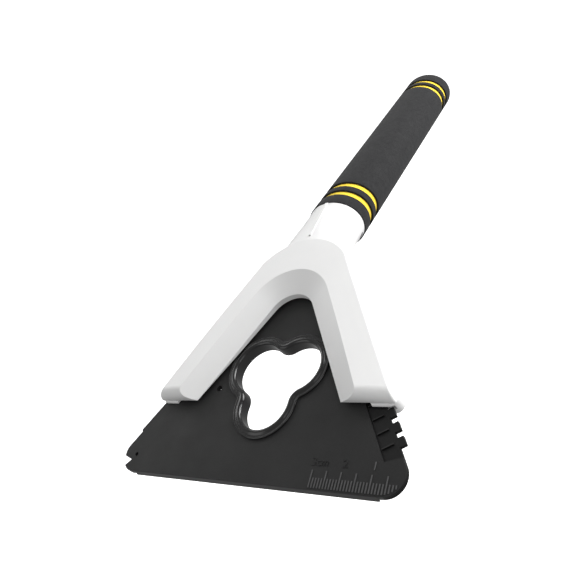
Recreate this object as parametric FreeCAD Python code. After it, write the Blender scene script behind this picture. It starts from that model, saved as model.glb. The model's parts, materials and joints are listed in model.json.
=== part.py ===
import FreeCAD, Part
import math
import os
from FreeCAD import Placement, Rotation, Vector

# Ice scraper with a removable three-sided blade. Everything is first built in the blade's own frame:
# origin at the middle of the front scraping edge on the blade's upper face, +X to the right along the
# edge, +Y towards the handle, +Z out of the upper face. The whole tool is then tipped onto its front
# edge and the rear end of its grip, which is how it lies on a table.

# ---- blade ----
BLADE_T = 2.0                # thickness
INRADIUS = 36.8              # from the blade's centre to its front and left edges
TEETH_N = 36.35              # from the centre to the tips of the teeth on the right edge
CENTRE_Y = INRADIUS
CORNER_R = 6.6               # rounded corners
TOOTH_DEPTH = 2.0
ROOT_N = TEETH_N - TOOTH_DEPTH
TOOTH_PITCH, TOOTH_LEN, TOOTH_COUNT = 5.1, 3.0, 18
FIRST_TOOTH_T = -45.0        # along the right edge from its middle, minus is towards the front
RECESS_N, RECESS_DEPTH = 28.7, 0.6      # thinned band behind the teeth
RIB_N0, RIB_N1, RIB_W, RIB_T = 29.2, 33.0, 0.4, 1.4     # each rib starts RIB_T along its tooth
STEP_T, STEP_N = -45.4, INRADIUS - 0.9  # small step on the left edge
NOSE_Z, NOSE_OUT, UNDERCUT = -1.85, 0.65, 0.6    # the front edge's lower corner
RULER_MM, RULER_LAST, RULER_ZERO_X = 30, 2, 56.0
TICK_W, TICK_H, TICK_Y0, TICK_SHORT, TICK_LONG = 0.42, 0.18, 0.6, 3.7, 6.05

# ---- three-lobed finger ring ----
LOBE_OFF, LOBE_R, NECK_R = 9.57, 9.5, 5.4
FLANGE_W, WEB_W = 3.3, 2.1
LIP_TOP, LIP_BOTTOM, FLANGE_H = 1.3, -4.2, 0.8

# ---- fork ----
ARM_END_Y = 27.6
PARTING_Z = 1.2              # where the two shells meet beside the blade
FORK_BOTTOM = -5.0
OUTER_HALF, OUTER_Y, OUTER_SLOPE = 45.6, 35.0, 0.533    # half width of the top edge and its taper
SKIRT_OUT = 1.5              # the lower shell stands this much wider
REAR_ARC_R, REAR_ARC_Y = 24.2, 69.5
RIDGE_HALF, RIDGE_DEG, RIDGE_R, RIDGE_Z, RIDGE_RISE = 31.87, 28.3, 18.3, 6.6, 1.7
WINDOW_HALF, WINDOW_DEG, WINDOW_R, WINDOW_Z, WINDOW_RISE = 23.33, 29.6, 10.2, 2.1, 2.8
BEVEL_REACH = 1.5            # the bevel is cut past its ridge, by this share of its width
TOP_R, TOP_Z, TOP_FALL = 340.0, 8.1, 0.01     # arched top: radius, height at Y 40, fall towards the rear
ARM_END_ROUND, FLANK_ROUND = 3.6, 0.7
SKIRT_CORNER, SKIRT_ROUND = 3.0, 1.2
RIB_HALF, RIB_H, RIB_FRONT_Y, RIB_FRONT_Z, VENT_R = 0.7, 0.25, 96.0, 7.35, 0.5      # rib on the neck
RIB_BEND = (104.7, 6.1)      # Y and Z of its crest where it turns down to the grip
NECK_INSET = 0.35            # the neck is this much inside the grip's outline
SLOT_GAP = 0.15              # clearance round the blade
RAIL_N = 30.6                # the arms touch the blade only outside this
RELIEF_Z, RELIEF_DEG = 1.55, -1.2       # room over the blade at the arm ends, and its fall to the rear

# ---- handle ----
TILT = 16.7                  # the handle points down from the blade's plane, degrees
AXIS_Y, AXIS_Z = 150.0, -17.36          # station 0 on the handle's axis
GRIP_A, GRIP_B = 12.7, 10.9  # oval grip, half width and half height
SKIN_T = 0.8
GRIP_START, GRIP_END = -38.5, 101.0
GROOVE_W = 3.2
GROOVES = (-30.5, -23.6, 83.2, 89.6)    # middle of each groove
END_ROUND = 3.2
TUBE_R, TUBE_WALL, TUBE_S0, TUBE_S1 = 6.0, 1.0, -44.0, 93.0
SPIGOT_A, SPIGOT_B, SPIGOT_END = 8.6, 7.8, -12.0
PIN_R, PIN_S = 1.5, -25.0
SCREWS = ((10.0, 98.0, -4.6, 2.6), (9.2, 109.0, -8.4, -0.8))    # x, y, head seat, tip
SCREW_R, HEAD_R, HEAD_H = 1.25, 2.4, 1.6

SIN60, COS60 = math.sin(math.radians(60)), 0.5


def polygon_prism(points, z0, z1):
    corners = [Vector(x, y, z0) for x, y in points]
    return Part.Face(Part.makePolygon(corners + corners[:1])).extrude(Vector(0, 0, z1 - z0))


def wire_prism(wire, z0, z1):
    face = Part.Face(wire)
    face.translate(Vector(0, 0, z0))
    return face.extrude(Vector(0, 0, z1 - z0))


def block(x0, x1, y0, y1, z0, z1):
    return Part.makeBox(x1 - x0, y1 - y0, z1 - z0, Vector(x0, y0, z0))


def profile_along_x(points, x0, x1):
    corners = [Vector(x0, y, z) for y, z in points]
    return Part.Face(Part.makePolygon(corners + corners[:1])).extrude(Vector(x1 - x0, 0, 0))


def fuse(shapes):
    return shapes[0].fuse(shapes[1:]).removeSplitter()


def edge_point(side, n, t):
    """A point n out from the blade's centre and t along its right (+1) or left (-1) edge."""
    x = n * SIN60 - t * COS60
    y = CENTRE_Y + n * COS60 + t * SIN60
    return Vector(side * x, y, 0)


def corner_centre(n_right, n_left):
    """Centre of the rounded rear corner between the right and the left edge."""
    right, left = n_right - CORNER_R, n_left - CORNER_R
    return Vector((right - left) / (2 * SIN60), CENTRE_Y + right + left, 0)


# ---------------------------------------------------------------- blade

def front_corner_x():
    """Centre of the rounded corner between the front and the right edge."""
    return (ROOT_N - CORNER_R + INRADIUS / 2 - CORNER_R / 2) / SIN60


def blade_outline():
    front_x = front_corner_x()
    front_c = Vector(front_x, CORNER_R, 0)
    right_n = Vector(SIN60, COS60, 0)
    left_n = Vector(-SIN60, COS60, 0)
    rear_c = corner_centre(ROOT_N, INRADIUS)
    notch_top, notch_in, notch_low = Vector(-57.43, 5.41, 0), Vector(-53.38, 4.18, 0), Vector(-55.55, 1.9, 0)
    left_front = Vector(-49.8, 0, 0)

    edges = [Part.LineSegment(left_front, Vector(front_x, 0, 0))]
    mid_dir = Vector(math.cos(math.radians(-30)), math.sin(math.radians(-30)), 0)
    tangent = front_c + right_n * CORNER_R
    edges.append(Part.Arc(Vector(front_x, 0, 0), front_c + mid_dir * CORNER_R, tangent))
    last = tangent
    for i in range(TOOTH_COUNT):
        t0 = FIRST_TOOTH_T + i * TOOTH_PITCH
        for n, t in ((ROOT_N, t0), (TEETH_N, t0), (TEETH_N, t0 + TOOTH_LEN), (ROOT_N, t0 + TOOTH_LEN)):
            point = edge_point(1, n, t)
            edges.append(Part.LineSegment(last, point))
            last = point
    tangent = rear_c + right_n * CORNER_R
    edges.append(Part.LineSegment(last, tangent))
    after = rear_c + left_n * CORNER_R
    edges.append(Part.Arc(tangent, rear_c + Vector(0, CORNER_R, 0), after))
    step_out, step_in = edge_point(-1, INRADIUS, STEP_T), edge_point(-1, STEP_N, STEP_T - 0.3)
    bend = edge_point(-1, STEP_N, -51.5)
    edges += [Part.LineSegment(after, step_out), Part.LineSegment(step_out, step_in),
              Part.LineSegment(step_in, bend), Part.Arc(bend, Vector(-57.75, 7.75, 0), notch_top),
              Part.LineSegment(notch_top, notch_in), Part.LineSegment(notch_in, notch_low),
              Part.Arc(notch_low, Vector(-53.7, 0.5, 0), left_front)]
    return Part.Wire([edge.toShape() for edge in edges])


def tooth_band():
    """The thinned band behind the teeth, less the short ribs that stand in it."""
    far = FIRST_TOOTH_T + TOOTH_COUNT * TOOTH_PITCH
    corners = [edge_point(1, n, t) for n, t in ((RECESS_N, -47.5), (INRADIUS + 3, -49.8),
                                                (INRADIUS + 3, far), (RECESS_N, far))]
    band = polygon_prism([(p.x, p.y) for p in corners], -RECESS_DEPTH, 1)
    ribs = []
    for i in range(TOOTH_COUNT):
        t = FIRST_TOOTH_T + i * TOOTH_PITCH + RIB_T
        corners = [edge_point(1, n, along) for n, along in ((RIB_N0, t), (RIB_N1, t), (RIB_N1, t + RIB_W),
                                                            (RIB_N0, t + RIB_W))]
        ribs.append(polygon_prism([(p.x, p.y) for p in corners], -RECESS_DEPTH - 1, 2))
    return band.cut(ribs)


def ruler_ticks():
    ticks = []
    corner_x = front_corner_x()
    for mm in range(RULER_LAST, RULER_MM + 1):
        x = RULER_ZERO_X - mm
        y0 = TICK_Y0
        if x > corner_x:
            y0 += CORNER_R - math.sqrt(CORNER_R ** 2 - (x - corner_x + TICK_W / 2) ** 2)
        y1 = TICK_LONG if mm % 5 == 0 else TICK_SHORT
        ticks.append(block(x - TICK_W / 2, x + TICK_W / 2, y0, y1, -0.2, TICK_H))
    return ticks


def scraper_plate():
    plate = wire_prism(blade_outline(), -BLADE_T, 0)
    nose = profile_along_x([(0.5, 0), (0, 0), (-NOSE_OUT, NOSE_Z), (0.5, NOSE_Z)], -49.0, 49.0)
    under = profile_along_x([(-NOSE_OUT, NOSE_Z), (UNDERCUT, -BLADE_T), (UNDERCUT, -5), (-2, -5), (-2, NOSE_Z)],
                            -70, 70)
    finger_hole = wire_prism(trefoil(WEB_W), -BLADE_T - 1, 1)
    dot = Part.makeCylinder(1.2, 6, Vector(-23.5, 33.4, -4))
    corner_hole = Part.makeCylinder(0.75, 6, Vector(-51.8, 6.3, -4))
    plate = plate.fuse(nose).cut([under, finger_hole, dot, corner_hole, tooth_band()])
    return plate.fuse(ruler_ticks()).removeSplitter()


# ---------------------------------------------------------------- finger ring

def trefoil(offset):
    """Closed three-lobed outline, offset outwards; one lobe points at each edge of the blade."""
    lobe_r, neck_r = LOBE_R + offset, NECK_R - offset
    reach = lobe_r + neck_r
    neck_off = (LOBE_OFF + math.sqrt(LOBE_OFF ** 2 - 4 * (LOBE_OFF ** 2 - reach ** 2))) / 2
    centre = Vector(0, CENTRE_Y, 0)

    def polar(radius, degrees):
        angle = math.radians(degrees)
        return Vector(radius * math.cos(angle), radius * math.sin(angle), 0)

    edges = []
    for lobe in (-90, 30, 150):
        lobe_c = centre + polar(LOBE_OFF, lobe)
        before, after = centre + polar(neck_off, lobe - 60), centre + polar(neck_off, lobe + 60)
        start = lobe_c + (before - lobe_c).normalize() * lobe_r
        end = lobe_c + (after - lobe_c).normalize() * lobe_r
        edges.append(Part.Arc(start, lobe_c + polar(lobe_r, lobe), end).toShape())
        next_c = centre + polar(LOBE_OFF, lobe + 120)
        next_start = next_c + (after - next_c).normalize() * lobe_r
        edges.append(Part.Arc(end, after - polar(neck_r, lobe + 60), next_start).toShape())
    return Part.Wire(edges)


def finger_ring():
    web = wire_prism(trefoil(WEB_W), LIP_BOTTOM, LIP_TOP)
    top = wire_prism(trefoil(FLANGE_W), 0, FLANGE_H)
    bottom = wire_prism(trefoil(FLANGE_W), -BLADE_T - FLANGE_H, -BLADE_T)
    opening = wire_prism(trefoil(0), LIP_BOTTOM - 1, LIP_TOP + 1)
    return fuse([web, top, bottom]).cut(opening)


# ---------------------------------------------------------------- fork and neck

def fork_outline(grow, front_y):
    """Plan of the fork: two straight flanks and a round rear, which meet where the flank runs
    square to the arc's radius; grow moves them all outwards."""
    half = lambda y: OUTER_HALF + grow - OUTER_SLOPE * (y - OUTER_Y)
    radius = REAR_ARC_R + grow
    y = REAR_ARC_Y + OUTER_SLOPE * half(REAR_ARC_Y) / (1 + OUTER_SLOPE ** 2)
    corner_r, corner_l = Vector(half(y), y, 0), Vector(-half(y), y, 0)
    front_r, front_l = Vector(half(front_y), front_y, 0), Vector(-half(front_y), front_y, 0)
    edges = [Part.LineSegment(front_l, front_r), Part.LineSegment(front_r, corner_r),
             Part.Arc(corner_r, Vector(0, REAR_ARC_Y + radius, 0), corner_l), Part.LineSegment(corner_l, front_l)]
    return Part.Wire([edge.toShape() for edge in edges])


def v_wire(half_at_40, degrees, radius, z_at_40, rise, grow=0.0):
    """A V open to the front with a round apex, in a plane that climbs by rise every 60 mm."""
    slope = math.radians(degrees)
    half_at_40 += grow / math.cos(slope)
    apex_y = 40 + half_at_40 / math.tan(slope)
    round_c = apex_y - radius / math.sin(slope)
    touch = Vector(radius * math.cos(slope), round_c + radius * math.sin(slope), 0)
    front_y = -10.0
    front_x = (apex_y - front_y) * math.tan(slope)
    mirror = lambda p: Vector(-p.x, p.y, 0)
    front = Vector(front_x, front_y, 0)
    wire = Part.Wire([Part.LineSegment(front, touch).toShape(),
                      Part.Arc(touch, Vector(0, round_c + radius, 0), mirror(touch)).toShape(),
                      Part.LineSegment(mirror(touch), mirror(front)).toShape(),
                      Part.LineSegment(mirror(front), front).toShape()])
    wire.rotate(Vector(0, 40, 0), Vector(1, 0, 0), math.degrees(math.atan2(rise, 60)))
    wire.translate(Vector(0, 0, z_at_40))
    return wire


def above_top():
    """Everything above the fork's gently arched top."""
    start_y, reach = -20.0, 160.0
    start_z = TOP_Z - TOP_R + TOP_FALL * (40 - start_y)
    barrel = Part.makeCylinder(TOP_R, reach * 1.1, Vector(0, start_y, start_z), Vector(0, 1, -TOP_FALL))
    return block(-70, 70, start_y, start_y + reach, -12, 30).cut(barrel)


def oval_wire(a, b, centre, degrees):
    """An upright ellipse across the Y axis, leaned back by the given angle."""
    wire = Part.Wire(Part.Ellipse(Vector(0, 0, 0), a, b).toShape())
    wire.rotate(Vector(0, 0, 0), Vector(1, 0, 0), 90 - degrees)
    wire.translate(Vector(0, *centre))
    return wire


def on_axis(station, up=0.0):
    """Y and Z of a station on the handle's axis."""
    tilt = math.radians(TILT)
    return (AXIS_Y + station * math.cos(tilt) + up * math.sin(tilt),
            AXIS_Z - station * math.sin(tilt) + up * math.cos(tilt))


def along_handle(shape):
    """Moves a shape built along +Z onto the handle's axis; its local Y then points down."""
    placed = shape.copy()
    placed.Placement = Placement(Vector(0, AXIS_Y, AXIS_Z), Rotation(Vector(1, 0, 0), -(90 + TILT)))
    return placed


def oval_bar(a, b, s0, s1):
    face = Part.Face(Part.Wire(Part.Ellipse(Vector(0, 0, s0), a, b).toShape()))
    return face.extrude(Vector(0, 0, s1 - s0))


def neck():
    sections = [oval_wire(19.0, 5.6, (80.0, 0.4), 0), oval_wire(16.4, 7.4, (91.0, 0.1), 4),
                oval_wire(13.6, 8.9, (103.0, -2.9), 11),
                oval_wire(GRIP_A - NECK_INSET, GRIP_B - NECK_INSET, on_axis(GRIP_START), TILT)]
    return Part.makeLoft(sections, True, False)


def neck_rib():
    """A low rib along the top of the neck, from near the fork to the grip."""
    rear_y, rear_z = on_axis(GRIP_START, GRIP_B - NECK_INSET + RIB_H)
    crest = [(RIB_FRONT_Y, RIB_FRONT_Z), RIB_BEND, (rear_y, rear_z)]
    return profile_along_x(crest + [(rear_y, 0), (RIB_FRONT_Y, 3)], -RIB_HALF, RIB_HALF)


def upper_fork():
    """The arms' upper half: round ends and flanks, cut to the round rear."""
    half = lambda y: OUTER_HALF - OUTER_SLOPE * (y - OUTER_Y)
    rear_y, base_z = 110.0, -6.0
    body = polygon_prism([(-half(ARM_END_Y), ARM_END_Y), (half(ARM_END_Y), ARM_END_Y),
                          (half(rear_y), rear_y), (-half(rear_y), rear_y)], base_z, 14).cut(above_top())
    top = [edge for edge in body.Edges if edge.BoundBox.ZMin > 3]
    body = body.makeFillet(ARM_END_ROUND, [edge for edge in top if edge.BoundBox.YMax < ARM_END_Y + 0.01])
    flanks = [edge for edge in body.Edges if edge.BoundBox.ZMin > 3 and edge.BoundBox.YLength > 30]
    return body.makeFillet(FLANK_ROUND, flanks).common(wire_prism(fork_outline(0, ARM_END_Y - 1), -1, 14))


def lower_fork():
    """The skirt and floor under the blade, wider than the upper half."""
    body = wire_prism(fork_outline(SKIRT_OUT, ARM_END_Y - 0.6), FORK_BOTTOM, PARTING_Z)
    corners = [edge for edge in body.Edges if edge.BoundBox.ZLength > 3 and edge.CenterOfMass.y < 40]
    body = body.makeFillet(SKIRT_CORNER, corners)
    return body.makeFillet(SKIRT_ROUND, [edge for edge in body.Edges if edge.BoundBox.ZLength < 0.01])


def parting():
    """Everything below the surface where the two shells meet."""
    y_end, z_end = on_axis(20)
    y_mid, z_mid = on_axis(-62)
    return profile_along_x([(-20, PARTING_Z), (78, PARTING_Z), (y_mid, z_mid), (y_end, z_end), (y_end, -60),
                            (-20, -60)], -80, 80)


def slot():
    """Room for the blade, open to the front."""
    n = INRADIUS + 0.3
    top_y = 102.8
    half = lambda y: (CENTRE_Y + 2 * n - y) * math.tan(math.radians(30))
    return polygon_prism([(half(10), 10), (half(top_y), top_y), (-half(top_y), top_y), (-half(10), 10)],
                         -BLADE_T - SLOT_GAP, SLOT_GAP)


def relief():
    """Space over the blade inside the rails, for the finger ring's flange."""
    half = lambda y: (CENTRE_Y + 2 * RAIL_N - y) * math.tan(math.radians(30))
    wedge = polygon_prism([(half(10), 10), (half(84), 84), (-half(84), 84), (-half(10), 10)], -8, 0)
    wedge.rotate(Vector(0, ARM_END_Y, 0), Vector(1, 0, 0), RELIEF_DEG)
    wedge.translate(Vector(0, 0, RELIEF_Z))
    return wedge.common(block(-80, 80, 0, 100, -BLADE_T, 20))


def screw_shapes(radius, head_radius, head_h):
    shapes = []
    for x, y, seat, tip in SCREWS:
        for side in (-1, 1):
            shank = Part.makeCylinder(radius, tip - seat, Vector(side * x, y, seat))
            head = Part.makeCylinder(head_radius, head_h, Vector(side * x, y, seat - head_h))
            shapes.append(shank.fuse(head).removeSplitter())
    return shapes


def clip_shape(gap):
    """U-shaped leaf spring round the blade's rear corner; gap grows it into its pocket."""
    leaf, width, y0, y1 = 0.6, 4.0, 91.0, 103.4
    top, bottom = 0.05, -BLADE_T - 0.05
    outer = block(-width - gap, width + gap, y0 - gap, y1 + gap, bottom - leaf - gap, top + leaf + gap)
    if gap:
        return outer
    return outer.cut(block(-width - 1, width + 1, y0 - 1, y1 - leaf, bottom, top))


def shells():
    throat = neck()
    spigot = along_handle(oval_bar(SPIGOT_A, SPIGOT_B, GRIP_START - 1, SPIGOT_END))
    below = parting()
    window_v = (WINDOW_HALF, WINDOW_DEG, WINDOW_R, WINDOW_Z, WINDOW_RISE)
    ridge_v = (RIDGE_HALF, RIDGE_DEG, RIDGE_R, RIDGE_Z, RIDGE_RISE)
    past_v = [low + BEVEL_REACH * (high - low) for low, high in zip(window_v, ridge_v)]
    bevel = Part.makeLoft([v_wire(*window_v), v_wire(*past_v)], True, True)
    window = wire_prism(v_wire(WINDOW_HALF, WINDOW_DEG, WINDOW_R, 0, 0), -1, 20)
    low_window = wire_prism(v_wire(WINDOW_HALF, WINDOW_DEG, WINDOW_R, 0, 0, grow=2.0), -20, PARTING_Z)
    bore = along_handle(Part.makeCylinder(TUBE_R, 200, Vector(0, 0, TUBE_S0)))
    pin = along_handle(pin_shape())
    holes = [slot(), relief(), bore, pin, clip_shape(0.05)] + screw_shapes(SCREW_R, HEAD_R, 12)

    vent = Part.makeCylinder(VENT_R, 4, Vector(0, RIB_FRONT_Y, 5))
    upper = fuse([upper_fork(), throat, spigot, neck_rib()]).cut([below, bevel, window, vent] + holes)
    lower = fuse([lower_fork(), throat, spigot]).common(below)
    lower = lower.cut([low_window] + holes)
    return upper.removeSplitter(), lower.removeSplitter()


# ---------------------------------------------------------------- handle

def pin_shape():
    half = SPIGOT_A - 0.3
    return Part.makeCylinder(PIN_R, 2 * half, Vector(-half, 0, PIN_S), Vector(1, 0, 0))


def handle_tube():
    tube = Part.makeCylinder(TUBE_R, TUBE_S1 - TUBE_S0, Vector(0, 0, TUBE_S0))
    bore = Part.makeCylinder(TUBE_R - TUBE_WALL, 300, Vector(0, 0, TUBE_S0 - 10))
    return tube.cut([bore, pin_shape()])


def tube_plug():
    stem = Part.makeCylinder(TUBE_R - TUBE_WALL, 9, Vector(0, 0, TUBE_S1 - 9))
    cap = Part.makeCylinder(TUBE_R, 1.6, Vector(0, 0, TUBE_S1))
    return stem.fuse(cap).removeSplitter()


def grip_core():
    core = oval_bar(GRIP_A - SKIN_T, GRIP_B - SKIN_T, GRIP_START, GRIP_END - 3)
    bore = Part.makeCylinder(TUBE_R, TUBE_S1 + 1.6 - GRIP_START, Vector(0, 0, GRIP_START))
    return core.cut([bore, oval_bar(SPIGOT_A, SPIGOT_B, GRIP_START - 1, SPIGOT_END)])


def grip_skins():
    """The dark outer foam, parted by the four grooves."""
    cuts = [GRIP_START] + [g + side * GROOVE_W / 2 for g in GROOVES for side in (-1, 1)] + [GRIP_END]
    names = ("grip_skin_front", "grip_skin_front_ring", "grip_skin_main", "grip_skin_rear_ring", "grip_skin_end")
    inner = oval_bar(GRIP_A - SKIN_T, GRIP_B - SKIN_T, GRIP_START - 1, GRIP_END - 3)
    skins = {}
    for name, s0, s1 in zip(names, cuts[0::2], cuts[1::2]):
        band = oval_bar(GRIP_A, GRIP_B, s0, s1)
        if s1 == GRIP_END:
            rim = [edge for edge in band.Edges if abs(edge.CenterOfMass.z - s1) < 0.01]
            band = band.makeFillet(END_ROUND, rim)
        skins[name] = band.cut(inner)
    return skins


# ---------------------------------------------------------------- whole tool

def build():
    upper, lower = shells()
    nodes = {"scraper_plate": scraper_plate(), "finger_ring": finger_ring(), "upper_shell": upper,
             "lower_shell": lower, "plate_clip": clip_shape(0),
             "shell_screws": Part.makeCompound(screw_shapes(SCREW_R, HEAD_R, HEAD_H))}
    handle = {"handle_tube": handle_tube(), "tube_pin": pin_shape(), "tube_plug": tube_plug(),
              "grip_core": grip_core()}
    handle.update(grip_skins())
    nodes.update({name: along_handle(shape) for name, shape in handle.items()})
    return nodes


def lay_down(nodes):
    """Tips the tool onto the blade's nose and the grip's rear end, and centres its footprint."""
    tilt = math.radians(TILT)
    heel_s = GRIP_END - END_ROUND
    heel_y, heel_z = on_axis(heel_s, -GRIP_B)
    lean = math.atan2(NOSE_Z - heel_z, heel_y + NOSE_OUT)
    for _ in range(4):
        y, z = on_axis(heel_s + END_ROUND * math.sin(tilt - lean),
                       -GRIP_B + END_ROUND * (1 - math.cos(tilt - lean)))
        lean = math.atan2(NOSE_Z - z, y + NOSE_OUT)
    turn = Placement(Vector(0, 0, 0), Rotation(Vector(1, 0, 0), math.degrees(lean)))
    turned = {}
    for name, shape in nodes.items():
        placed = shape.copy()
        placed.Placement = turn.multiply(placed.Placement)
        turned[name] = placed
    box = Part.makeCompound(list(turned.values())).optimalBoundingBox(False)
    shift = Vector(-(box.XMin + box.XMax) / 2, -(box.YMin + box.YMax) / 2, -box.ZMin)
    for shape in turned.values():
        shape.translate(shift)
    print("lean", round(math.degrees(lean), 4), "shift", [round(v, 4) for v in shift],
          "size", [round(v, 2) for v in (box.XLength, box.YLength, box.ZLength)])
    return turned


os.makedirs("parts", exist_ok=True)
for node, solid in lay_down(build()).items():
    solid.exportStep("parts/%s.step" % node)
    print(node, solid.isValid(), len(solid.Solids), "solids", round(solid.Volume / 1000, 3), "cm3")
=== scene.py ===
import json
import math

import bmesh
import bpy
from mathutils import Matrix, Vector


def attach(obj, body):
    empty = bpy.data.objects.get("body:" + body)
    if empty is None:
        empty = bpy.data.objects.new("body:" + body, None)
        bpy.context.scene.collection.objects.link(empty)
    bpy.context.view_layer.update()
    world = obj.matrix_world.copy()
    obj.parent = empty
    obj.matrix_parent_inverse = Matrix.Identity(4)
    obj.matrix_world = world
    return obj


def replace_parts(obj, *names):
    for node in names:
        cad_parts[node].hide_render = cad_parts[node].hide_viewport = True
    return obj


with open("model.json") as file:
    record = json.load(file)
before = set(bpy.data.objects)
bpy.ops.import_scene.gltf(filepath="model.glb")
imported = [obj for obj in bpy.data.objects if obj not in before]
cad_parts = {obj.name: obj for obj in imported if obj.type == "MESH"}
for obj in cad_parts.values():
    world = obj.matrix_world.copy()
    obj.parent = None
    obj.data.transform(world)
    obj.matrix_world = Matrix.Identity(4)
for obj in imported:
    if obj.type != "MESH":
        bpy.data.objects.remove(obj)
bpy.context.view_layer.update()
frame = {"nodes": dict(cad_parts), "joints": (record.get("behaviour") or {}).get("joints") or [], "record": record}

# Ice scraper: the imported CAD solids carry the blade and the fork, and this script gives them their
# finish, and makes the foam grip, the soft finger ring and the blade's numbers. Sizes are in
# millimetres and are turned to metres when a mesh is made.
MM = 0.001

# ---- the blade's own frame: +X along the scraping edge, +Y to the handle, +Z out of the upper face ----
MOUNT_Y, MOUNT_Z = 76.5, -5.0            # the record's resting face, in the blade's frame
slide = frame["joints"][0]["axis"]
LEAN = math.atan2(-slide[2], -slide[1])
BLADE = Matrix.Rotation(LEAN, 4, "X")
resting_face = Vector(frame["record"]["mounts"][0]["pos_m"])
BLADE.translation = resting_face - BLADE @ (Vector((0, MOUNT_Y, MOUNT_Z)) * MM)

# ---- the handle's frame: +Z along its axis to the rear, +Y down ----
TILT, AXIS_Y, AXIS_Z = 16.7, 150.0, -17.36
HANDLE = (BLADE @ Matrix.Translation(Vector((0, AXIS_Y, AXIS_Z)) * MM)
          @ Matrix.Rotation(math.radians(-(90 + TILT)), 4, "X"))

# ---- grip ----
GRIP_A, GRIP_B = 12.7, 10.9              # half width and half height of the oval
SKIN_T = 0.8
GRIP_START, GRIP_END = -38.5, 101.0
GROOVE_W = 3.2
GROOVES = (-30.5, -23.6, 83.2, 89.6)
LIP_R = 0.35                             # rounding of the foam at each groove
END_ROUND = 3.2
CORE_SHORT = 3.0                         # the yellow core ends this far before the grip does
AROUND = 160                             # points round the oval

# ---- finger ring ----
RING_Y = 36.8
LOBE_OFF, LOBE_R, NECK_R = 9.57, 9.5, 5.4
WEB_W, FLANGE_W = 2.1, 3.3
LIP_TOP, LIP_BOTTOM, FLANGE_H, BLADE_T = 1.3, -4.2, 0.8, 2.0
RIM_GAP = 0.15                           # the hollow between rim and flange, out from the web


# ---------------------------------------------------------------- helpers

def mesh_piece(name, points, faces, place, body, material, smooth=True):
    """A new object from points in millimetres, put in place by a matrix; it rides on a CAD body."""
    mesh = bpy.data.meshes.new(name)
    mesh.from_pydata([place @ (Vector(p) * MM) for p in points], [], faces)
    mesh.validate()
    work = bmesh.new()
    work.from_mesh(mesh)
    bmesh.ops.remove_doubles(work, verts=work.verts, dist=1e-7)
    bmesh.ops.recalc_face_normals(work, faces=work.faces)
    work.to_mesh(mesh)
    work.free()
    for face in mesh.polygons:
        face.use_smooth = smooth
    mesh.materials.append(material)
    piece = bpy.data.objects.new(name, mesh)
    bpy.context.scene.collection.objects.link(piece)
    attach(piece, body)
    return piece


def loop_faces(rows, columns, close_rows):
    """Quads between neighbouring rows of a grid whose columns close on themselves."""
    faces = []
    for i in range(rows if close_rows else rows - 1):
        j = (i + 1) % rows
        for k in range(columns):
            m = (k + 1) % columns
            faces.append((i * columns + k, i * columns + m, j * columns + m, j * columns + k))
    return faces


def arc(centre_u, centre_v, radius, start, end, steps):
    """Points of an arc in a profile; angles in degrees."""
    return [(centre_u + radius * math.cos(math.radians(start + (end - start) * i / steps)),
             centre_v + radius * math.sin(math.radians(start + (end - start) * i / steps)))
            for i in range(steps + 1)]


# ---------------------------------------------------------------- materials

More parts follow.
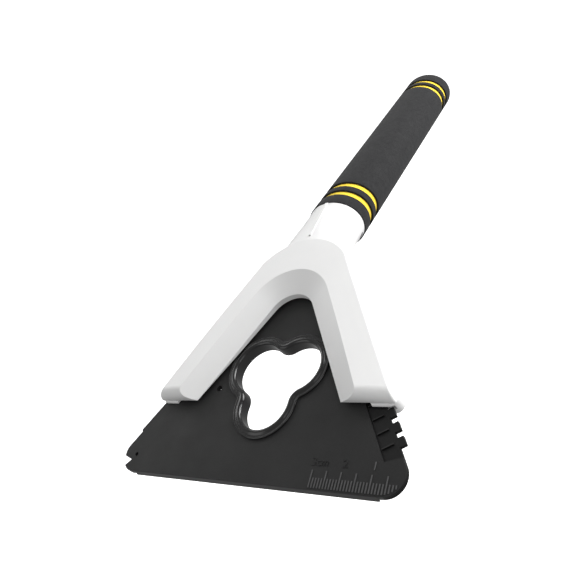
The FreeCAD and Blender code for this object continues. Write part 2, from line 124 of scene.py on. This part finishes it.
class Nodes:
    """A material's node tree with short ways to add and link nodes."""

    def __init__(self, name):
        self.material = bpy.data.materials.new(name)
        self.material.use_nodes = True
        self.tree = self.material.node_tree
        self.shader = self.tree.nodes["Principled BSDF"]
        self.place = self.add("ShaderNodeTexCoord").outputs["Object"]

    def add(self, kind, **settings):
        node = self.tree.nodes.new(kind)
        for key, value in settings.items():
            setattr(node, key, value)
        return node

    def link(self, source, target):
        self.tree.links.new(source, target)

    def noise(self, scale, detail=3.0, roughness=0.5, stretch=None):
        node = self.add("ShaderNodeTexNoise")
        node.inputs["Scale"].default_value = scale
        node.inputs["Detail"].default_value = detail
        node.inputs["Roughness"].default_value = roughness
        source = self.place
        if stretch:
            mapping = self.add("ShaderNodeMapping")
            mapping.inputs["Scale"].default_value = stretch
            self.link(source, mapping.inputs["Vector"])
            source = mapping.outputs["Vector"]
        self.link(source, node.inputs["Vector"])
        return node.outputs["Fac"]

    def cells(self, scale):
        node = self.add("ShaderNodeTexVoronoi")
        node.inputs["Scale"].default_value = scale
        self.link(self.place, node.inputs["Vector"])
        return node.outputs["Distance"]

    def ramp(self, source, stops):
        node = self.add("ShaderNodeValToRGB")
        ramp = node.color_ramp
        for i, (at, colour) in enumerate(stops):
            stop = ramp.elements[i] if i < 2 else ramp.elements.new(at)
            stop.position = at
            stop.color = (*colour, 1) if hasattr(colour, "__len__") else (colour, colour, colour, 1)
        self.link(source, node.inputs["Fac"])
        return node.outputs["Color"]

    def mix(self, factor, first, second):
        node = self.add("ShaderNodeMix", data_type="RGBA")
        self.link(factor, node.inputs["Factor"])
        for socket, value in ((node.inputs[6], first), (node.inputs[7], second)):
            if hasattr(value, "is_output"):
                self.link(value, socket)
            else:
                socket.default_value = (*value, 1)
        return node.outputs[2]

    def bump(self, source, strength, distance, after=None):
        node = self.add("ShaderNodeBump")
        node.inputs["Strength"].default_value = strength
        node.inputs["Distance"].default_value = distance
        self.link(source, node.inputs["Height"])
        if after:
            self.link(after, node.inputs["Normal"])
        return node.outputs["Normal"]

    def step(self, source, start, end):
        """0 before start and 1 after end, both in millimetres of a place socket."""
        node = self.add("ShaderNodeMapRange")
        node.inputs["From Min"].default_value = start * MM
        node.inputs["From Max"].default_value = end * MM
        self.link(source, node.inputs["Value"])
        return node.outputs["Result"]

    def product(self, first, second):
        node = self.add("ShaderNodeMath", operation="MULTIPLY")
        self.link(first, node.inputs[0])
        self.link(second, node.inputs[1])
        return node.outputs["Value"]

    def tint(self, first, second):
        node = self.add("ShaderNodeMix", data_type="RGBA", blend_type="MULTIPLY")
        node.inputs["Factor"].default_value = 1.0
        self.link(first, node.inputs[6])
        self.link(second, node.inputs[7])
        return node.outputs[2]

    def set(self, **values):
        for key, value in values.items():
            socket = self.shader.inputs[key.replace("_", " ")]
            if hasattr(value, "is_output"):
                self.link(value, socket)
            else:
                socket.default_value = value
        return self.material


def blade_height(n):
    """Sockets with a point's Y and Z in the blade's own frame."""
    local = n.add("ShaderNodeMapping", vector_type="TEXTURE")
    local.inputs["Location"].default_value = BLADE.translation
    local.inputs["Rotation"].default_value = (LEAN, 0, 0)
    n.link(n.place, local.inputs["Vector"])
    split = n.add("ShaderNodeSeparateXYZ")
    n.link(local.outputs["Vector"], split.inputs["Vector"])
    return split.outputs["Y"], split.outputs["Z"]


def blade_plastic():
    """Matt grained upper face; smooth sides painted near black, partly their own colour and partly painted shade
    in the holes and recess; a satin band behind the teeth; ticks painted lighter as a painted highlight; a painted
    reflection on the nose.
    """
    n = Nodes("blade_plastic")
    along, height = blade_height(n)
    raised = n.step(height, 0.04, 0.14)
    sunk = n.step(height, -0.08, -0.2)
    nose = n.product(n.step(along, 0.12, 0.04), sunk)
    cloud = n.ramp(n.noise(60, 4), [(0.3, 0.016), (0.7, 0.020)])
    speck = n.ramp(n.noise(2600, 2), [(0.35, 0.92), (0.65, 1.08)])
    # painted highlight: the raised ticks and raised numbers are painted a lighter grey that stands in for light on
    # their tops
    top = n.mix(raised, n.tint(cloud, speck), (0.075, 0.075, 0.076))
    # painted reflection: the nose strip is painted a light streaked grey that stands in for the bright
    # surroundings it would reflect
    nose_painted_reflection = n.ramp(n.noise(240, 5, 0.6, (0.2, 1, 1)), [(0.3, 0.074), (0.7, 0.115)])
    # painted shade: every face below the upper face is painted near black, partly the smooth plastic's own colour
    # and partly painted shade in the holes and the recess; the recess floor behind the teeth gets a less dark grey
    band = n.product(n.step(height, -0.72, -0.64), n.step(height, -0.48, -0.56))
    walls = n.mix(sunk, top, (0.004, 0.004, 0.004))
    colour = n.mix(nose, n.mix(band, walls, (0.010, 0.010, 0.010)), nose_painted_reflection)
    grain = n.bump(n.noise(3200, 3), 0.25, 0.00006)
    scuffs = n.bump(n.noise(90, 5, 0.7, (1, 6, 6)), 0.08, 0.0003, grain)
    matt = n.ramp(n.noise(140, 5), [(0.3, 0.50), (0.75, 0.62)])
    rough = n.mix(sunk, matt, (0.36, 0.36, 0.36))
    shine = n.mix(band, n.mix(sunk, (0.3, 0.3, 0.3), (0.12, 0.12, 0.12)), (0.3, 0.3, 0.3))
    return n.set(Base_Color=colour, Roughness=rough, Normal=scuffs, Specular_IOR_Level=shine)


def number_plastic():
    n = Nodes("number_plastic")
    colour = n.ramp(n.noise(200, 4), [(0.3, 0.006), (0.7, 0.010)])
    rough = n.ramp(n.noise(400, 3), [(0.3, 0.30), (0.7, 0.42)])
    return n.set(Base_Color=colour, Roughness=rough, Normal=n.bump(n.noise(2600, 2), 0.1, 0.00004))


def ring_rubber():
    n = Nodes("ring_rubber")
    colour = n.ramp(n.noise(90, 4), [(0.3, 0.006), (0.7, 0.011)])
    rough = n.ramp(n.noise(260, 4), [(0.3, 0.16), (0.7, 0.24)])
    waves = n.bump(n.noise(180, 2), 0.12, 0.0002)
    grain = n.bump(n.noise(2400, 2), 0.05, 0.00005, waves)
    return n.set(Base_Color=colour, Roughness=rough, Normal=grain, Coat_Weight=0.35, Coat_Roughness=0.12)


def shell_plastic():
    n = Nodes("shell_plastic")
    colour = n.ramp(n.noise(35, 4), [(0.3, (0.845, 0.845, 0.84)), (0.7, (0.875, 0.875, 0.87))])
    rough = n.ramp(n.noise(120, 4), [(0.3, 0.34), (0.7, 0.42)])
    flow = n.bump(n.noise(45, 3), 0.05, 0.0005)
    grain = n.bump(n.noise(2800, 2), 0.06, 0.00004, flow)
    return n.set(Base_Color=colour, Roughness=rough, Normal=grain, Subsurface_Weight=0.08,
                 Subsurface_Radius=(0.002, 0.002, 0.002), Subsurface_Scale=1.0)


def foam(name, dark, light, pore_painted_shade):
    """Closed-cell foam: small open pores at the skin, painted darker as painted shade in the pits, and a soft
    mottled colour.
    """
    n = Nodes(name)
    mottle = n.ramp(n.noise(140, 5, 0.65), [(0.3, dark), (0.7, light)])
    pores = n.cells(1500)
    # painted shade: the pore centres are painted darker, standing in for the shade inside each pit
    pore_shade_mask = n.ramp(pores, [(0.12, 0.0), (0.45, 1.0)])
    colour = n.mix(pore_shade_mask, pore_painted_shade, mottle)
    cell_bump = n.bump(pores, 0.2, 0.00012)
    fuzz = n.bump(n.noise(3800, 3, 0.7), 0.2, 0.00008, cell_bump)
    rough = n.ramp(n.noise(500, 3), [(0.3, 0.82), (0.7, 0.96)])
    return n.set(Base_Color=colour, Roughness=rough, Normal=fuzz, Sheen_Weight=0.05, Sheen_Roughness=0.5,
                 Specular_IOR_Level=0.2)


def steel(name, colour, roughness, stretch):
    n = Nodes(name)
    base = n.ramp(n.noise(300, 4), [(0.3, tuple(c * 0.9 for c in colour)), (0.7, colour)])
    lines = n.noise(900, 4, 0.6, stretch)
    rough = n.ramp(lines, [(0.3, roughness), (0.7, roughness + 0.14)])
    return n.set(Base_Color=base, Roughness=rough, Normal=n.bump(lines, 0.12, 0.00005), Metallic=1.0)


def plug_plastic():
    n = Nodes("plug_plastic")
    colour = n.ramp(n.noise(150, 4), [(0.3, 0.022), (0.7, 0.032)])
    rough = n.ramp(n.noise(300, 3), [(0.3, 0.45), (0.7, 0.6)])
    return n.set(Base_Color=colour, Roughness=rough, Normal=n.bump(n.noise(2600, 2), 0.2, 0.00005))


MATERIALS = {
    "number_black": number_plastic(),
    "blade_black": blade_plastic(), "ring_black": ring_rubber(), "shell_white": shell_plastic(),
    "spring_steel": steel("spring_steel", (0.56, 0.56, 0.57), 0.26, (1, 12, 1)),
    "screw_steel": steel("screw_steel", (0.52, 0.52, 0.53), 0.3, (1, 1, 6)),
    "tube_metal": steel("tube_metal", (0.74, 0.74, 0.76), 0.3, (1, 12, 1)), "plug_black": plug_plastic(),
    # the last colour of each foam is the painted shade in its pores
    "foam_yellow": foam("foam_yellow", (0.94, 0.66, 0.05), (0.99, 0.74, 0.07), (0.86, 0.56, 0.03)),
    "foam_dark": foam("foam_dark", (0.016, 0.016, 0.017), (0.021, 0.021, 0.022), (0.010, 0.010, 0.011)),
}

for part in frame["record"]["subparts"]:
    node = frame["nodes"][part["node"]]
    node.data.materials.clear()
    node.data.materials.append(MATERIALS[part["material_slot"]])


# ---------------------------------------------------------------- foam grip

def oval(offset, station):
    """The grip's oval, offset outwards along its normal, at one station of the handle's axis."""
    ring = []
    for i in range(AROUND):
        angle = 2 * math.pi * i / AROUND
        c, s = math.cos(angle), math.sin(angle)
        normal = Vector((GRIP_B * c, GRIP_A * s)).normalized()
        ring.append((GRIP_A * c + normal.x * offset, GRIP_B * s + normal.y * offset, station))
    return ring


def sleeve(name, s0, s1):
    """A closed band of outer foam from s0 to s1 with rounded lips."""
    inner = -SKIN_T
    profile = [(inner, s0)] + [(u, v) for v, u in arc(s0 + LIP_R, -LIP_R, LIP_R, 180, 90, 6)]
    steps = max(2, int((s1 - s0) / 2.5))
    profile += [(0.0, s0 + LIP_R + (s1 - s0 - 2 * LIP_R) * i / steps) for i in range(1, steps)]
    profile += [(u, v) for v, u in arc(s1 - LIP_R, -LIP_R, LIP_R, 90, 0, 6)] + [(inner, s1)]
    points = [p for offset, station in profile for p in oval(offset, station)]
    return mesh_piece(name, points, loop_faces(len(profile), AROUND, True), HANDLE, "handle",
                      MATERIALS["foam_dark"])


def end_cap(name, s0, s1):
    """The last band of foam, which also closes the grip's rear end."""
    inner, inside = -SKIN_T, s1 - CORE_SHORT
    profile = [(inner, s0)] + [(u, v) for v, u in arc(s0 + LIP_R, -LIP_R, LIP_R, 180, 90, 6)]
    profile += [(u, v) for v, u in arc(s1 - END_ROUND, -END_ROUND, END_ROUND, 90, 0, 12)]
    rows = [oval(offset, station) for offset, station in profile]
    rim = rows[-1]
    for share in (0.8, 0.6, 0.4, 0.2, 0.02):
        rows.append([(x * share, y * share, s1) for x, y, _ in rim])
    start = [(x, y, s0) for x, y, _ in rows[0]]
    for share in (0.02, 0.3, 0.6, 0.9, 1.0):
        rows.append([(x * share, y * share, inside) for x, y, _ in start])
    points = [p for row in rows for p in row]
    return mesh_piece(name, points, loop_faces(len(rows), AROUND, True), HANDLE, "handle",
                      MATERIALS["foam_dark"])


edges = [GRIP_START] + [g + side * GROOVE_W / 2 for g in GROOVES for side in (-1, 1)] + [GRIP_END]
skins = ("grip_skin_front", "grip_skin_front_ring", "grip_skin_main", "grip_skin_rear_ring", "grip_skin_end")
for node_name, s0, s1 in zip(skins, edges[0::2], edges[1::2]):
    make = end_cap if node_name == "grip_skin_end" else sleeve
    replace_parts(make(node_name.replace("grip_skin", "foam_skin"), s0, s1), node_name)


# ---------------------------------------------------------------- finger ring

def trefoil(steps):
    """Points and outward normals of the three-lobed opening."""
    reach = LOBE_R + NECK_R
    neck_off = (LOBE_OFF + math.sqrt(LOBE_OFF ** 2 - 4 * (LOBE_OFF ** 2 - reach ** 2))) / 2
    outline = []
    for lobe in (-90, 30, 150):
        centre = Vector((math.cos(math.radians(lobe)), math.sin(math.radians(lobe)))) * LOBE_OFF
        after = Vector((math.cos(math.radians(lobe + 60)), math.sin(math.radians(lobe + 60)))) * neck_off
        towards = after - centre
        span = math.degrees(math.atan2(towards.y, towards.x)) - lobe
        span = (span + 180) % 360 - 180
        for i in range(steps):
            angle = math.radians(lobe - span + 2 * span * i / steps)
            normal = Vector((math.cos(angle), math.sin(angle)))
            outline.append((centre + normal * LOBE_R, normal))
        turn = span - 60
        for i in range(steps // 2):
            angle = math.radians(lobe + span + 180 - 2 * turn * i / (steps // 2))
            normal = -Vector((math.cos(angle), math.sin(angle)))
            outline.append((after - normal * NECK_R, normal))
    return outline


def finger_ring():
    """A soft ring that grips the blade's opening from both sides, with a rounded rim and flange."""
    rim, lip = WEB_W / 2, FLANGE_H / 2
    top = arc(rim, LIP_TOP - rim, rim, 180, 30, 10)
    flange = arc(FLANGE_W - lip, lip, lip, 100, -60, 8)
    under = [(u, -BLADE_T - v) for u, v in reversed(flange)]
    bottom = [(u, LIP_BOTTOM + LIP_TOP - v) for u, v in reversed(top)]
    hollow_u, hollow_v = WEB_W + RIM_GAP, FLANGE_H * 0.75
    profile = top + [(hollow_u, hollow_v)] + flange + under + [(hollow_u, -BLADE_T - hollow_v)] + bottom
    outline = trefoil(60)
    columns = len(outline)
    points = [(p.x + n.x * u, p.y + n.y * u + RING_Y, v) for u, v in profile for p, n in outline]
    ring = mesh_piece("ring_moulding", points, loop_faces(len(profile), columns, True), BLADE, "blade",
                      MATERIALS["ring_black"])
    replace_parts(ring, "finger_ring")


finger_ring()


# ---------------------------------------------------------------- numbers on the ruler

# the 1 takes the blade's finish, so its raised top carries the painted tick highlight
NUMBERS = (("3cm", 28.0, "number_3cm", "number_black"), ("2", 36.7, "number_2", "number_black"),
           ("1", 46.3, "number_1", "blade_black"))
NUMBER_Y, NUMBER_H, NUMBER_UP = 7.5, 2.5, 0.12           # baseline, height and how far each stands up


def ruler_number(text, middle, name, material):
    """A plain raised number; the font's capitals are about 0.7 of its size."""
    letters = bpy.data.curves.new(name, "FONT")
    letters.body, letters.align_x = text, "CENTER"
    letters.size = NUMBER_H / 0.7 * MM
    letters.extrude, letters.bevel_depth = NUMBER_UP / 2 * MM, 0.02 * MM
    source = bpy.data.objects.new(name + "_text", letters)
    bpy.context.scene.collection.objects.link(source)
    mesh = bpy.data.meshes.new_from_object(source)
    bpy.data.objects.remove(source)
    mesh.name = name
    mesh.transform(BLADE @ Matrix.Translation(Vector((middle, NUMBER_Y, NUMBER_UP / 2)) * MM))
    mesh.materials.clear()
    mesh.materials.append(MATERIALS[material])
    piece = bpy.data.objects.new(name, mesh)
    bpy.context.scene.collection.objects.link(piece)
    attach(piece, "blade")


for number in NUMBERS:
    ruler_number(*number)


# ---------------------------------------------------------------- stage, light and camera

def floor():
    """A round floor that curves up into a wall and a ceiling, glowing a little so that it stays white."""
    reach, drop, around = 6.0, -0.5, 64
    profile = [(0.01, drop), (reach * 0.6, drop)]
    profile += [(reach * (0.6 + 0.4 * math.sin(a)), drop + reach * 0.4 * (1 - math.cos(a)))
                for a in (math.radians(15 * i) for i in range(1, 7))]
    profile += [(reach, reach * 0.7), (reach * 0.8, reach), (0.01, reach * 1.1)]
    points = [(r * math.cos(2 * math.pi * i / around), r * math.sin(2 * math.pi * i / around), z)
              for r, z in profile for i in range(around)]
    mesh = bpy.data.meshes.new("floor")
    mesh.from_pydata(points, [], loop_faces(len(profile), around, False))
    n = Nodes("floor_paint")
    n.set(Base_Color=(0.9, 0.9, 0.9, 1), Roughness=0.9, Emission_Color=(1, 1, 1, 1), Emission_Strength=0.95)
    mesh.materials.append(n.material)
    ground = bpy.data.objects.new("floor", mesh)
    bpy.context.scene.collection.objects.link(ground)
    ground.visible_diffuse = False       # its glow doesn't light the object
    ground.visible_glossy = False
    ground.visible_shadow = False


def softbox(name, direction, strength, size=0.8, distance=1.2, target=Vector((0, 0, 0))):
    """A square light facing its target; strength is what it adds to a white surface there that faces it."""
    light = bpy.data.lights.new(name, "AREA")
    light.shape, light.size = "SQUARE", size
    light.energy = strength * math.pi ** 2 * distance ** 2
    lamp = bpy.data.objects.new(name, light)
    away = Vector(direction).normalized()
    lamp.location = target + away * distance
    lamp.rotation_euler = (-away).to_track_quat("-Z", "Y").to_euler()
    bpy.context.scene.collection.objects.link(lamp)


def studio():
    world = bpy.data.worlds.new("studio")
    world.use_nodes = True
    back = world.node_tree.nodes["Background"]
    back.inputs["Color"].default_value = (1, 1, 1, 1)
    back.inputs["Strength"].default_value = 0.34
    bpy.context.scene.world = world
    fork = BLADE @ (Vector((15, 85, 5)) * MM)
    right_arm = BLADE @ (Vector((50, 25, 5)) * MM)
    softbox("rear_key", (0.45, 0.6, 0.66), 0.66, size=0.25, distance=0.38, target=fork)
    softbox("right_near", (0.80, -0.30, 0.50), 0.22, size=0.12, distance=0.2, target=right_arm)
    softbox("right_rim", (0.75, 0.6, 0.25), 1.25)
    softbox("left_rim", (-0.85, 0.35, 0.38), 0.26)
    softbox("front_fill", (-0.5, -0.75, 0.45), 0.12)


def camera():
    """Looks back along the tool and down on it, from in front of the blade's right corner."""
    lens = bpy.data.cameras.new("camera")
    lens.sensor_width = 36.0
    lens.lens = 40.22
    eye = bpy.data.objects.new("camera", lens)
    right = BLADE.to_3x3() @ Vector((0.80756, 0.28526, -0.51621))
    view = BLADE.to_3x3() @ Vector((-0.58241, 0.52372, -0.62171))
    right = (right - view * right.dot(view)).normalized()
    up = right.cross(view).normalized()
    eye.matrix_world = Matrix((right, up, -view)).transposed().to_4x4()
    eye.location = BLADE @ (Vector((136.07, -52.61, 153.97)) * MM)
    bpy.context.scene.collection.objects.link(eye)
    bpy.context.scene.camera = eye


floor()
studio()
camera()
settings = bpy.context.scene.view_settings
settings.view_transform = "Standard"
settings.look = "None"
